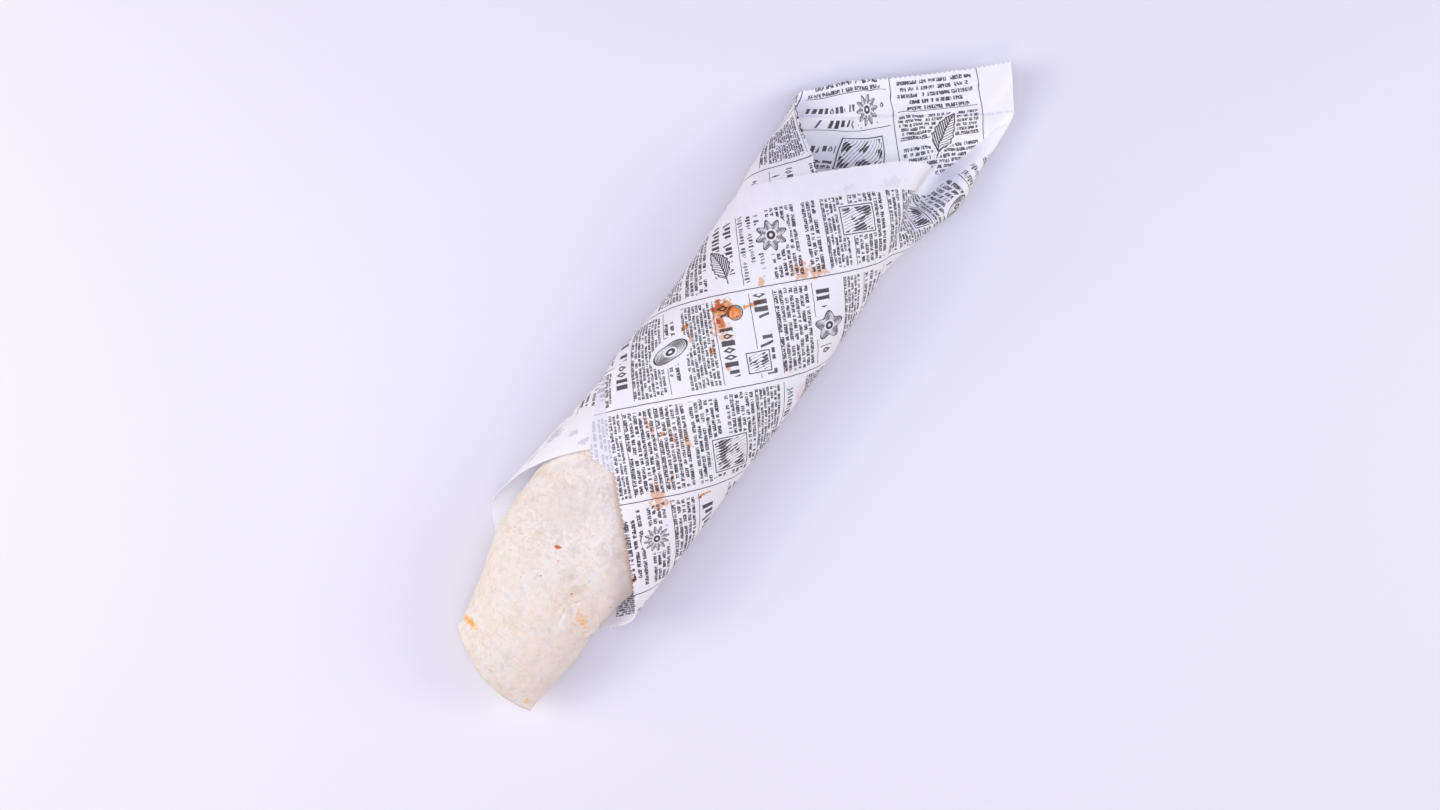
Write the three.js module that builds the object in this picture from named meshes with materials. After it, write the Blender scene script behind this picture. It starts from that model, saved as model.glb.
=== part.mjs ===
// A gyro wrap in its paper: a flatbread rolled round its filling and closed at the end that shows,
// and a square printed sheet of greaseproof paper rolled round it cornerwise into an open tube.
//
// Frame, in millimetres: +X runs along the roll from the bare bread end to the open paper mouth,
// +Y is the left side seen with +X pointing up, +Z is up, and the wrap lies on z = 0.

import * as THREE from 'three';

// ---- Driving dimensions --------------------------------------------------------------------

const SHEET_SIDE = 207.6; // the doubled sheet is square
const SHEET_CENTRE = { s: 70.3, x: 11.3 }; // where its middle lies on the tube, unrolled
const PAPER_THICKNESS = 0.5;
const LAYER_PITCH = 0.95; // from one turn of paper to the next

// Outline of the paper tube, station by station along x. Each section is four quarter curves that
// meet at its crown, its right and left edges, and the line where it lies on the table.
const TUBE_LEFT = [
  [-125, 42], [-108, 44], [-96, 44.6], [-84, 41.9], [-70, 39.2], [-58, 37.2], [-40, 34.9],
  [-19, 33.1], [9, 30.9], [46, 31.6], [67, 34], [97, 34.4], [160, 33],
];
const TUBE_RIGHT = [
  [-125, -27], [-108, -28.6], [-97, -29.4], [-73, -30.4], [-40, -31.4], [-8, -32.6], [24, -33.2],
  [46, -33], [62, -31.8], [74, -34.2], [89, -37.8], [101, -41], [117, -39.8], [136, -39.2], [160, -37],
];
const TUBE_CROWN = [
  [-125, 36], [-80, 37.4], [-40, 37.2], [0, 37.4], [30, 37.2], [50, 36], [65, 33.4], [80, 29],
  [95, 24.5], [110, 20.5], [134, 16], [160, 14],
];
const TUBE_CROWN_Y = [[-100, 2], [-60, 3], [20, 0], [80, -4], [110, -4]];
const TUBE_LEFT_HEIGHT = [
  [-100, 6.5], [-84, 10], [-60, 15], [-30, 17.5], [40, 17], [70, 13], [95, 5.5], [160, 5],
];
const TUBE_RIGHT_HEIGHT = [[-100, 24], [-70, 21], [-30, 18], [40, 17], [70, 13], [95, 7], [160, 6]];
const TUBE_FLOOR_Y = [[-100, 10], [-60, 4], [20, 0], [160, -2]];
// How square each quarter is: 2 is an ellipse, less is pointed, more is boxed.
const CROWN_SQUARENESS = [[60, 2.1], [100, 1.9]];
const BELLY_SQUARENESS = [[-100, 1.95], [-60, 2.3], [-20, 2.5], [60, 2.5], [100, 1.8]];

// The dent that runs from the right side up to the lip of the mouth.
const DENT = { from: 58, to: 104, depth: 11.5, halfWidth: 5.6, sAtFrom: 37, sAtTo: 30 };
// Where a loose edge is drawn along the tube, towards the bread end: the mouth's lip at the dent,
// the lip that leans out over the bread on the left, and the cut edge tucked under it on the right.
const DRAWN_EDGES = [
  { by: 12.8, atS: 35, halfWidth: 12, from: 75, to: 115 },
  { by: 8.5, atS: 121, halfWidth: 26, from: -52, to: -88 },
  { by: -3, atS: 46, halfWidth: 12, from: -88, to: -104 },
];
// Past the lip, the right edge stays this far round the sheet from the crown line.
const MOUTH_FOLD = { s: 54.5, from: 95, to: 115 };

// The end of the sheet that lies open past the mouth: it climbs to a crease near its cut edge, which
// runs slantwise, nearer to the edge the further it is from the lip.
const FLAP = {
  creaseInset: 18.5,
  creaseSlant: 0.085,
  climbFrom: 36,
  climb: 8,
  droop: 0.16,
  tipLift: 3.5,
  tipFrom: 100,
  rightEnd: { from: 54, to: 70 },
  leftEnd: { from: 132, to: 112 },
};
const MOUTH_SHORTENING = { from: 60, to: 158, by: 3 };
// The same end is pulled round a little to the right, about a point near its right fold.
const FLAP_TURN = {
  angle: -0.0914, // radians
  pivot: { x: 119, y: -18.5 },
  leftEnd: { from: 152, to: 130 },
  nearEnd: { from: 84, to: 104 },
};

// The inner leaf of the doubled sheet shows as a narrow strip beside the outer leaf's cut edge.
const STRIP = { width: 11.6, from: -45, full: -21, end: -8, squareCutX: -58 };

// The flatbread roll: its outline station by station along x, and how square its sections are.
const BREAD = { closedEnd: -152.2, hiddenEnd: 62, noseLength: 7, tailLength: 14, bluntness: 0.17 };
const BREAD_LEFT = [
  [-152, 24.9], [-140, 27.2], [-128, 29.6], [-106, 34.3], [-77, 35], [-40, 31.2], [9, 27.6],
  [40, 26.6], [62, 22],
];
const BREAD_RIGHT = [
  [-152, -17.9], [-131, -20.1], [-114, -20.6], [-98, -22.7], [-73, -26.6], [-40, -28], [0, -28.9],
  [40, -28.4], [62, -22],
];
const BREAD_CROWN = [
  [-152, 18.5], [-144, 23.5], [-132, 28.8], [-115, 32.6], [-98, 33.9], [-60, 34.6], [0, 34.7],
  [40, 32.4], [62, 25],
];
const BREAD_FLOOR = [[-152, 9.5], [-144, 6.2], [-132, 4], [-115, 2.6], [-90, 2.2], [62, 2.1]];
const BREAD_SQUARENESS = [[-150, 1.7], [-125, 2.2]];
// The outer end of the bread lies along the underside as a step, and the roll thins towards it.
const BREAD_LAP = { step: 1.5, angle: 3.75, radius: 16, shareAcross: 0.6 };
// The closed end is cut slantwise: it reaches furthest at y, and falls back towards both sides.
const BREAD_SLANT = { y: -6, left: { width: 31, back: 13 }, right: { width: 12, back: 1.8 }, length: 70 };

// Fineness of the faceted solids.
const SHEET_COLUMN = 4; // width of a column of facets round the tube
const FINE_COLUMN = { width: 1.9, from: 16, to: 60 }; // and about the dent and the fold beside it
const SHEET_ROWS = 25;
const ROW_CROWDING = 1.55; // rows crowd towards the mouth, where the sheet bends most
const CORNER_CUT = 1; // taken off the sheet's two corners where columns would shrink to nothing
const NORMAL_REACH = 0.4; // how far to each side the sheet is felt for the way it faces
const SECTION_FROM = -160;
const SECTION_STEP = 1;
const SECTION_COUNT = 331;
const SECTION_SAMPLES = 240;
const BREAD_RINGS = 34;
const BREAD_SIDES = 40;
const RING_CROWDING = 0.11; // rings crowd towards both rounded ends

// ---- Small helpers -------------------------------------------------------------------------

const clamp01 = (t) => Math.min(1, Math.max(0, t));
const ease = (t) => clamp01(t) ** 2 * (3 - 2 * clamp01(t));
const bump = (t) => Math.exp(-t * t);
const rise = ({ from, to }, x) => ease((x - from) / (to - from));
const mix = (a, b, t) => a + (b - a) * t;
const signedPower = (v, power) => Math.sign(v) * Math.abs(v) ** power;

// A smooth curve through [x, value] stations, level past both ends.
function along(stations, x) {
  const last = stations.length - 1;
  if (x <= stations[0][0]) return stations[0][1];
  if (x >= stations[last][0]) return stations[last][1];
  const i = stations.findIndex(([sx]) => sx > x) - 1;
  const slope = (k) => {
    const [a, b] = [stations[Math.max(k - 1, 0)], stations[Math.min(k + 1, last)]];
    return (b[1] - a[1]) / (b[0] - a[0]);
  };
  const [x0, v0] = stations[i];
  const [x1, v1] = stations[i + 1];
  const gap = x1 - x0;
  const t = (x - x0) / gap;
  return (
    (1 + 2 * t) * (1 - t) ** 2 * v0 +
    t * (1 - t) ** 2 * gap * slope(i) +
    t * t * (3 - 2 * t) * v1 +
    t * t * (t - 1) * gap * slope(i + 1)
  );
}

// ---- The tube's sections -------------------------------------------------------------------

// One section of the tube at x, walked from the point of the crown over y = 0, down the right
// side, under the belly and up the left side, as points an equal length apart.
function tubeSection(x) {
  const edge = { right: along(TUBE_RIGHT, x), left: along(TUBE_LEFT, x) };
  const edgeHeight = { right: along(TUBE_RIGHT_HEIGHT, x), left: along(TUBE_LEFT_HEIGHT, x) };
  const crown = { y: along(TUBE_CROWN_Y, x), z: along(TUBE_CROWN, x), power: 2 / along(CROWN_SQUARENESS, x) };
  const floor = { y: along(TUBE_FLOOR_Y, x), z: 0, power: 2 / along(BELLY_SQUARENESS, x) };

  const pointAt = (angle) => {
    const [across, up] = [Math.sin(angle), Math.cos(angle)];
    const side = across >= 0 ? 'right' : 'left';
    const pole = up >= 0 ? crown : floor;
    return [
      pole.y + (edge[side] - pole.y) * Math.abs(across) ** pole.power,
      edgeHeight[side] + (pole.z - edgeHeight[side]) * Math.abs(up) ** pole.power,
    ];
  };
  const steps = SECTION_SAMPLES * 4;
  const round = Array.from({ length: steps }, (_, i) => pointAt((2 * Math.PI * i) / steps));
  const start = round.findIndex(
    ([y, z], i) => z > edgeHeight.left && y <= 0 && round[(i + steps - 1) % steps][0] > 0,
  );
  const section = evenlySpaced(dented([...round.slice(start), ...round.slice(0, start + 1)], x));
  const rightmost = section.points.reduce((best, [y], i) => (y < section.points[best][0] ? i : best), 0);
  const reachedRight = (section.girth * rightmost) / SECTION_SAMPLES;
  return { ...section, slip: rise(MOUTH_FOLD, x) * (MOUTH_FOLD.s - reachedRight) };
}

function dented(walk, x) {
  const depth = DENT.depth * rise(DENT, x);
  const middle = mix(DENT.sAtFrom, DENT.sAtTo, clamp01((x - DENT.from) / (DENT.to - DENT.from)));
  let reached = 0;
  return walk.map(([y, z], i) => {
    const before = walk[Math.max(i - 1, 0)];
    const after = walk[Math.min(i + 1, walk.length - 1)];
    reached += Math.hypot(y - before[0], z - before[1]);
    const tangent = [after[0] - before[0], after[1] - before[1]];
    const push = (depth * bump((reached - middle) / DENT.halfWidth)) / Math.hypot(...tangent);
    return [y - push * tangent[1], z + push * tangent[0]];
  });
}

function evenlySpaced(walk) {
  const reached = [0];
  for (let i = 1; i < walk.length; i++) {
    reached.push(reached[i - 1] + Math.hypot(walk[i][0] - walk[i - 1][0], walk[i][1] - walk[i - 1][1]));
  }
  const girth = reached[reached.length - 1];
  const points = [];
  for (let k = 0, i = 0; k < SECTION_SAMPLES; k++) {
    const want = (girth * k) / SECTION_SAMPLES;
    while (reached[i + 1] < want) i++;
    const t = (want - reached[i]) / (reached[i + 1] - reached[i]);
    points.push([mix(walk[i][0], walk[i + 1][0], t), mix(walk[i][1], walk[i + 1][1], t)]);
  }
  return { girth, points };
}

const SECTIONS = Array.from({ length: SECTION_COUNT }, (_, i) =>
  tubeSection(SECTION_FROM + i * SECTION_STEP),
);

// A point of the section at x, a length s round it from the crown, and the direction into the tube.
function onSection(section, s) {
  const { girth, points, slip } = section;
  const f = (((((s - slip) / girth) % 1) + 1) % 1) * SECTION_SAMPLES;
  const at = (k) => points[(k + SECTION_SAMPLES) % SECTION_SAMPLES];
  const i = Math.floor(f);
  const t = f - i;
  const point = [0, 1].map((c) => mix(at(i)[c], at(i + 1)[c], t));
  const tangent = [0, 1].map((c) => mix(at(i + 1)[c] - at(i - 1)[c], at(i + 2)[c] - at(i)[c], t));
  const size = Math.hypot(...tangent);
  return { point, inward: [-tangent[1] / size, tangent[0] / size] };
}

// ---- The sheet -----------------------------------------------------------------------------

// Unrolled, the sheet is a square standing on its corner: s runs round the tube from the crown
// over the right side, x along it.
const HALF_DIAGONAL = SHEET_SIDE / Math.SQRT2;
const FIRST_S = SHEET_CENTRE.s - HALF_DIAGONAL;
const LAST_S = SHEET_CENTRE.s + HALF_DIAGONAL;

const upperEdge = (s) => SHEET_CENTRE.x + HALF_DIAGONAL - Math.abs(s - SHEET_CENTRE.s);

function lowerEdge(s) {
  const cut = SHEET_CENTRE.x - HALF_DIAGONAL + Math.abs(s - SHEET_CENTRE.s);
  if (s > STRIP.end) return cut;
  const strip = STRIP.width * clamp01((s - STRIP.from) / (STRIP.full - STRIP.from));
  return Math.min(cut, Math.max(cut - strip, STRIP.squareCutX));
}

// Where the point (s, x) of the unrolled sheet lies once it is rolled.
function rolled(s, x) {
  const last = SECTION_COUNT - 1;
  const place = clamp01((x - SECTION_FROM) / (SECTION_STEP * last)) * last;
  const i = Math.min(Math.floor(place), last - 1);
  const [a, b] = [onSection(SECTIONS[i], s), onSection(SECTIONS[i + 1], s)];
  const t = place - i;
  const inset = (LAYER_PITCH * (s - FIRST_S)) / mix(SECTIONS[i].girth, SECTIONS[i + 1].girth, t);
  const y = mix(a.point[0] + inset * a.inward[0], b.point[0] + inset * b.inward[0], t);
  let z = mix(a.point[1] + inset * a.inward[1], b.point[1] + inset * b.inward[1], t);

  const fromCutEdge = (SHEET_CENTRE.x + HALF_DIAGONAL + SHEET_CENTRE.s - s - x) / Math.SQRT2;
  const fromFoldedEdge = (s - FIRST_S - x + SHEET_CENTRE.x) / Math.SQRT2;
  const creaseInset = FLAP.creaseInset - FLAP.creaseSlant * fromFoldedEdge;
  const pastRightFold = rise(FLAP.rightEnd, s);
  const underneath = pastRightFold * rise(FLAP.leftEnd, s);
  const climbed = clamp01((FLAP.climbFrom - fromCutEdge) / (FLAP.climbFrom - creaseInset)) ** 2;
  z += underneath * FLAP.climb * climbed;
  z -= underneath * FLAP.droop * Math.max(0, creaseInset - fromCutEdge);
  z += underneath * FLAP.tipLift * ease((x - FLAP.tipFrom) / (SHEET_CENTRE.x + HALF_DIAGONAL - FLAP.tipFrom));

  const shortening = MOUTH_SHORTENING.by * rise(MOUTH_SHORTENING, x);
  const drawn = DRAWN_EDGES.reduce(
    (sum, edge) => sum + edge.by * rise(edge, x) * bump((s - edge.atS) / edge.halfWidth),
    0,
  );
  const pulledX = x - shortening - drawn;
  const turned = pastRightFold * rise(FLAP_TURN.leftEnd, s) * rise(FLAP_TURN.nearEnd, x);
  const angle = FLAP_TURN.angle * turned;
  const [awayX, awayY] = [pulledX - FLAP_TURN.pivot.x, y - FLAP_TURN.pivot.y];
  return new THREE.Vector3(pulledX - angle * awayY, y + angle * awayX, z);
}

// The same point pushed out of the sheet's middle surface, by half its thickness.
function sheetFace(s, x, offset) {
  const round = rolled(s + NORMAL_REACH, x).sub(rolled(s - NORMAL_REACH, x));
  const lengthwise = rolled(s, x + NORMAL_REACH).sub(rolled(s, x - NORMAL_REACH));
  return rolled(s, x).addScaledVector(round.cross(lengthwise).normalize(), offset);
}

function columnPlaces() {
  const stops = [
    FIRST_S + CORNER_CUT, STRIP.from, STRIP.full, STRIP.end,
    FINE_COLUMN.from, FINE_COLUMN.to, SHEET_CENTRE.s, LAST_S - CORNER_CUT,
  ];
  const places = [stops[0]];
  for (let k = 1; k < stops.length; k++) {
    const width = stops[k] === FINE_COLUMN.to ? FINE_COLUMN.width : SHEET_COLUMN;
    const parts = Math.ceil((stops[k] - stops[k - 1]) / width);
    for (let i = 1; i <= parts; i++) places.push(mix(stops[k - 1], stops[k], i / parts));
  }
  return places;
}

// A closed solid between two like grids of points: grid[side][column][row].
function solidBetween(outer, inner) {
  const columns = outer.length;
  const rows = outer[0].length;
  const positions = [];
  for (const p of [outer, inner].flat(2)) positions.push(p.x, p.y, p.z);
  const at = (side, i, j) => (side * columns + i) * rows + j;
  const faces = [];
  const quad = (a, b, c, d) => faces.push(a, b, c, a, c, d);
  for (let i = 0; i + 1 < columns; i++) {
    for (let j = 0; j + 1 < rows; j++) {
      quad(at(0, i, j), at(0, i + 1, j), at(0, i + 1, j + 1), at(0, i, j + 1));
      quad(at(1, i, j), at(1, i, j + 1), at(1, i + 1, j + 1), at(1, i + 1, j));
    }
    quad(at(1, i, 0), at(1, i + 1, 0), at(0, i + 1, 0), at(0, i, 0));
    quad(at(0, i, rows - 1), at(0, i + 1, rows - 1), at(1, i + 1, rows - 1), at(1, i, rows - 1));
  }
  for (let j = 0; j + 1 < rows; j++) {
    quad(at(0, 0, j), at(0, 0, j + 1), at(1, 0, j + 1), at(1, 0, j));
    quad(at(1, columns - 1, j), at(1, columns - 1, j + 1), at(0, columns - 1, j + 1), at(0, columns - 1, j));
  }
  const geometry = new THREE.BufferGeometry();
  geometry.setAttribute('position', new THREE.Float32BufferAttribute(positions, 3));
  geometry.setIndex(faces);
  geometry.computeVertexNormals();
  return geometry;
}

function paperSheet() {
  const grid = (offset) =>
    columnPlaces().map((s) =>
      Array.from({ length: SHEET_ROWS + 1 }, (_, j) => {
        const upwards = 1 - (1 - j / SHEET_ROWS) ** ROW_CROWDING;
        return sheetFace(s, mix(lowerEdge(s), upperEdge(s), upwards), offset);
      }),
    );
  return solidBetween(grid(PAPER_THICKNESS / 2), grid(-PAPER_THICKNESS / 2));
}

// ---- The flatbread -------------------------------------------------------------------------

// How far the slantwise closed end falls back at y.
function fallenBack(y) {
  const side = y > BREAD_SLANT.y ? BREAD_SLANT.left : BREAD_SLANT.right;
  return side.back * ((y - BREAD_SLANT.y) / side.width) ** 2;
}

// A point of the roll: u from the closed end (0) to the hidden end (1), turn round it (0 to 1).
function breadPoint(u, turn) {
  const x = mix(BREAD.closedEnd, BREAD.hiddenEnd, u);
  const left = along(BREAD_LEFT, x);
  const right = along(BREAD_RIGHT, x);
  const crown = along(BREAD_CROWN, x);
  const floor = along(BREAD_FLOOR, x);
  const rounding = (t) => Math.sqrt(1 - (1 - clamp01(t)) ** 2);
  const nose = rounding((x - BREAD.closedEnd) / BREAD.noseLength);
  const tail = rounding((BREAD.hiddenEnd - x) / BREAD.tailLength);
  const angle = 2 * Math.PI * turn;
  const lap = ((((angle - BREAD_LAP.angle) / (2 * Math.PI)) % 1) + 1) % 1;
  const outward = 1 - (BREAD_LAP.step / BREAD_LAP.radius) * (1 - lap) * Math.min(nose, tail);
  const power = 2 / along(BREAD_SQUARENESS, x);
  const across = mix(1, outward, BREAD_LAP.shareAcross) * Math.max(tail, BREAD.bluntness);
  const upright = outward * Math.max(Math.min(nose, tail), BREAD.bluntness);
  const halfWidth = ((left - right) / 2) * across;
  const halfHeight = ((crown - floor) / 2) * upright;
  const y = (left + right) / 2 - halfWidth * signedPower(Math.sin(angle), power);
  const z = (crown + floor) / 2 + halfHeight * signedPower(Math.cos(angle), power);
  const slant = ease(1 - (x - BREAD.closedEnd) / BREAD_SLANT.length);
  return new THREE.Vector3(x + slant * fallenBack(y), y, z);
}

function breadRoll() {
  const positions = [];
  const faces = [];
  const ringStart = (i) => i * BREAD_SIDES;
  for (let i = 0; i <= BREAD_RINGS; i++) {
    const k = i / BREAD_RINGS;
    const u = k - RING_CROWDING * Math.sin(2 * Math.PI * k);
    for (let j = 0; j < BREAD_SIDES; j++) {
      const p = breadPoint(u, j / BREAD_SIDES);
      positions.push(p.x, p.y, p.z);
    }
  }
  for (let i = 0; i < BREAD_RINGS; i++) {
    for (let j = 0; j < BREAD_SIDES; j++) {
      const [a, b] = [ringStart(i) + j, ringStart(i) + ((j + 1) % BREAD_SIDES)];
      faces.push(a, b, b + BREAD_SIDES, a, b + BREAD_SIDES, a + BREAD_SIDES);
    }
  }
  for (const [ring, facing] of [[0, 1], [BREAD_RINGS, -1]]) {
    const hub = positions.length / 3;
    const centre = [0, 1, 2].map((c) => {
      let sum = 0;
      for (let j = 0; j < BREAD_SIDES; j++) sum += positions[(ringStart(ring) + j) * 3 + c];
      return sum / BREAD_SIDES;
    });
    positions.push(...centre);
    for (let j = 0; j < BREAD_SIDES; j++) {
      const [a, b] = [ringStart(ring) + j, ringStart(ring) + ((j + 1) % BREAD_SIDES)];
      faces.push(...(facing > 0 ? [hub, b, a] : [hub, a, b]));
    }
  }
  const geometry = new THREE.BufferGeometry();
  geometry.setAttribute('position', new THREE.Float32BufferAttribute(positions, 3));
  geometry.setIndex(faces);
  geometry.computeVertexNormals();
  return geometry;
}

// ---- The wrap ------------------------------------------------------------------------------

const paperStock = new THREE.MeshStandardMaterial({ color: 0xe9e8f2, roughness: 0.62, metalness: 0 });
const bakedDough = new THREE.MeshStandardMaterial({ color: 0xeee2da, roughness: 0.7, metalness: 0 });

const paper = new THREE.Mesh(paperSheet(), paperStock);
paper.name = 'paper_sheet';
const bread = new THREE.Mesh(breadRoll(), bakedDough);
bread.name = 'flatbread_roll';

// The origin goes to the middle of the underside of the whole wrap.
const wrap = new THREE.Group();
wrap.add(paper, bread);
const box = new THREE.Box3().setFromObject(wrap);
const middle = box.getCenter(new THREE.Vector3());
wrap.position.set(-middle.x, -middle.y, -box.min.z);

export default wrap;
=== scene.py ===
"""A gyro wrap in its paper, dressed on its frame: a filled flatbread roll, closed at the end that
shows, in a printed sheet of greaseproof paper rolled round it cornerwise. The scene is in metres,
+Z up; the wrap's own sizes and places are named in millimetres, with MM between the two."""

import math
from functools import partialmethod

import bpy
import numpy as np
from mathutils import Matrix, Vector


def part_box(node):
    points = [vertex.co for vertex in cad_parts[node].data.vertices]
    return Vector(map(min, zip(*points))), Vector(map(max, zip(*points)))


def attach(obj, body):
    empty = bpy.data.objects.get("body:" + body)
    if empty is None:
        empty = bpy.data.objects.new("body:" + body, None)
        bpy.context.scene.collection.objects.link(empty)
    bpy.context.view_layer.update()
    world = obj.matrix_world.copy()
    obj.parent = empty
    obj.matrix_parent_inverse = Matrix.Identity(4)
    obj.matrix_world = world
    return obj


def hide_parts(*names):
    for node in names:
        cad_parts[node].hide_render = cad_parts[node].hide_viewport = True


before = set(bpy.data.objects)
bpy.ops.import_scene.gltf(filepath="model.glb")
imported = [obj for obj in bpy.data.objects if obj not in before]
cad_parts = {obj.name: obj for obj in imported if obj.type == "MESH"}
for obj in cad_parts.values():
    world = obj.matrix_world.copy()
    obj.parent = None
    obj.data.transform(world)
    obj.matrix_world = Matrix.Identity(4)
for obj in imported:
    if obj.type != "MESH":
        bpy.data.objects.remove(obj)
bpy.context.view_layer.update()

# ---- Flatbread roll --------------------------------------------------------------------------
# A soft wheat flatbread rolled round its filling, its near end pressed flat and shut. It is baked
# pale, with scorched freckles and floury patches, and its outer end laps along the underside.

MM = 0.001
BREAD_ENDS = (-152.2, 62)

# How far the roll's sides, crown and floor lie from the middle of the table, as (x, y or z), and how
# square its section is.
BREAD_LEFT = [
    (-152, 24.9), (-140, 27.2), (-128, 29.6), (-106, 34.3), (-77, 35), (-40, 31.2), (9, 27.6),
    (40, 26.6), (62, 22),
]
BREAD_RIGHT = [
    (-152, -17.9), (-131, -20.1), (-114, -20.6), (-98, -22.7), (-73, -26.6), (-40, -28), (0, -28.9),
    (40, -28.4), (62, -22),
]
BREAD_CROWN = [
    (-152, 18.5), (-144, 23.5), (-132, 28.8), (-115, 32.6), (-98, 33.9), (-60, 34.6), (0, 34.7),
    (40, 32.4), (62, 25),
]
BREAD_FLOOR = [(-152, 9.5), (-144, 6.2), (-132, 4), (-115, 2.6), (-90, 2.2), (62, 2.1)]
BREAD_SQUARENESS = [(-150, 1.7), (-125, 2.2)]
BREAD_NOSE, BREAD_TAIL, BREAD_BLUNTNESS = 7, 14, 0.17
BREAD_LAP_STEP, BREAD_LAP_ANGLE, BREAD_LAP_RADIUS, BREAD_LAP_ACROSS = 1.5, 3.75, 16, 0.6
BREAD_SLANT_Y, BREAD_SLANT_LENGTH = -6, 70
BREAD_SLANT_WIDTH = {"left": 31, "right": 13}
BREAD_SLANT_BACK = {"left": 12, "right": 1.8}
BREAD_CORE_Y, BREAD_CORE_Z = [(-150, 3), (-80, 4)], 17
BREAD_TOP_SIDE = {"start": 11, "end": 15}
BREAD_SIDES, BREAD_RINGS, BREAD_END_RINGS, RINGS_CROWD_ENDS = 200, 190, 5, 0.11
BOX_RINGS, BOX_SIDES = 400, 80

# The skin's unevenness: height, wavelength and seed. It stands lower than the solid by what is
# sunk, and fades out where the paper holds the bread.
SKIN_WAVES = [(0.45, 34, 3), (0.16, 9, 4), (0.06, 3.4, 5)]
SKIN_SUNK, SKIN_FADE = 0.35, (-40, -60)
BLISTER = {"x": -110.4, "y": -12.6, "radius": 7.4, "rise": 0.5, "rim": 0.9, "groove": 0.25}
CREASE = {"from": (-106, -1), "to": (-93, -21), "depth": 0.5, "half_width": 1.7}
CREASE_FADES = ((0, 0.3), (1.1, 0.8))


def through(stations, x):
    """A smooth curve through (x, value) stations, level past both ends."""
    at, value = np.array(stations, float).T
    before = np.maximum(np.arange(len(at)) - 1, 0)
    after = np.minimum(np.arange(len(at)) + 1, len(at) - 1)
    slope = (value[after] - value[before]) / (at[after] - at[before])
    x = np.clip(x, at[0], at[-1])
    i = np.clip(np.searchsorted(at, x, side="right") - 1, 0, len(at) - 2)
    gap = at[i + 1] - at[i]
    t = (x - at[i]) / gap
    first = (1 + 2 * t) * (1 - t) ** 2 * value[i] + t * (1 - t) ** 2 * gap * slope[i]
    return first + t * t * (3 - 2 * t) * value[i + 1] + t * t * (t - 1) * gap * slope[i + 1]


def eased(x, start, end):
    """0 at start and before it, 1 at end and past it."""
    t = np.clip((x - start) / (end - start), 0, 1)
    return t * t * (3 - 2 * t)


def bump(t):
    return np.exp(-t * t)


def unevenness(points, wavelength, seed, waves=9):
    """Smooth noise of about this wavelength, from -1 to 1: a few sine waves crossing at random."""
    random = np.random.default_rng(seed)
    total = 0
    for _ in range(waves):
        direction = random.normal(size=3)
        direction *= random.uniform(0.75, 1.35) / np.linalg.norm(direction)
        phase = points @ direction * 2 * math.pi / wavelength
        total = total + np.sin(phase + random.uniform(0, 6.28))
    return total / math.sqrt(waves * 2)


def uneven(points, waves):
    """Noise of several wavelengths: a height, a wavelength and a seed for each."""
    return sum(height * unevenness(points, wavelength, seed) for height, wavelength, seed in waves)


def signed_power(value, power):
    return np.sign(value) * np.abs(value) ** power


def bread_surface(along_roll, turn):
    """Points of the roll, along_roll from its closed end (0) to its hidden one (1)."""
    x = BREAD_ENDS[0] + along_roll * (BREAD_ENDS[1] - BREAD_ENDS[0])
    left, right = through(BREAD_LEFT, x), through(BREAD_RIGHT, x)
    crown, floor = through(BREAD_CROWN, x), through(BREAD_FLOOR, x)
    nose = np.sqrt(1 - (1 - np.clip((x - BREAD_ENDS[0]) / BREAD_NOSE, 0, 1)) ** 2)
    tail = np.sqrt(1 - (1 - np.clip((BREAD_ENDS[1] - x) / BREAD_TAIL, 0, 1)) ** 2)
    angle = 2 * math.pi * turn
    lap = ((angle - BREAD_LAP_ANGLE) / (2 * math.pi)) % 1
    outward = 1 - BREAD_LAP_STEP / BREAD_LAP_RADIUS * (1 - lap) * np.minimum(nose, tail)
    power = 2 / through(BREAD_SQUARENESS, x)
    across = 1 + (outward - 1) * BREAD_LAP_ACROSS
    half_width = (left - right) / 2 * across * np.maximum(tail, BREAD_BLUNTNESS)
    half_height = (crown - floor) / 2 * outward
    half_height *= np.maximum(np.minimum(nose, tail), BREAD_BLUNTNESS)
    y = (left + right) / 2 - half_width * signed_power(np.sin(angle), power)
    z = (crown + floor) / 2 + half_height * signed_power(np.cos(angle), power)
    on_left = y > BREAD_SLANT_Y
    width = np.where(on_left, BREAD_SLANT_WIDTH["left"], BREAD_SLANT_WIDTH["right"])
    back = np.where(on_left, BREAD_SLANT_BACK["left"], BREAD_SLANT_BACK["right"])
    fallen = back * ((y - BREAD_SLANT_Y) / width) ** 2
    slant = eased(BREAD_SLANT_LENGTH - (x - BREAD_ENDS[0]), 0, BREAD_SLANT_LENGTH)
    return np.stack([x + slant * fallen, y, z], 1)


def points_of(piece):
    return np.array([vertex.co for vertex in piece.data.vertices])


def put_points(piece, points):
    """Moves the piece's points to these places, in millimetres."""
    piece.data.vertices.foreach_set("co", (points * MM).ravel())


def place_on(node_name, points):
    """How far to move these points, in millimetres, so that their box is centred on the node's."""
    low, high = np.array(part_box(node_name)) / MM
    return ((low + high) - (points.min(0) + points.max(0))) / 2


bpy.ops.object.select_all(action="DESELECT")
bpy.ops.mesh.primitive_uv_sphere_add(segments=BREAD_SIDES, ring_count=BREAD_RINGS, radius=1)
bread = bpy.context.object
bread.name = "bread_roll"
ball = points_of(bread)
ring = np.arccos(np.clip(ball[:, 2], -1, 1)) / math.pi * BREAD_RINGS
turn = np.arctan2(ball[:, 1], ball[:, 0]) / (2 * math.pi) % 1
share = np.clip((ring - BREAD_END_RINGS) / (BREAD_RINGS - 2 * BREAD_END_RINGS), 0, 1)
share = share - RINGS_CROWD_ENDS * np.sin(2 * math.pi * share)
skin = bread_surface(share, turn)

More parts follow.
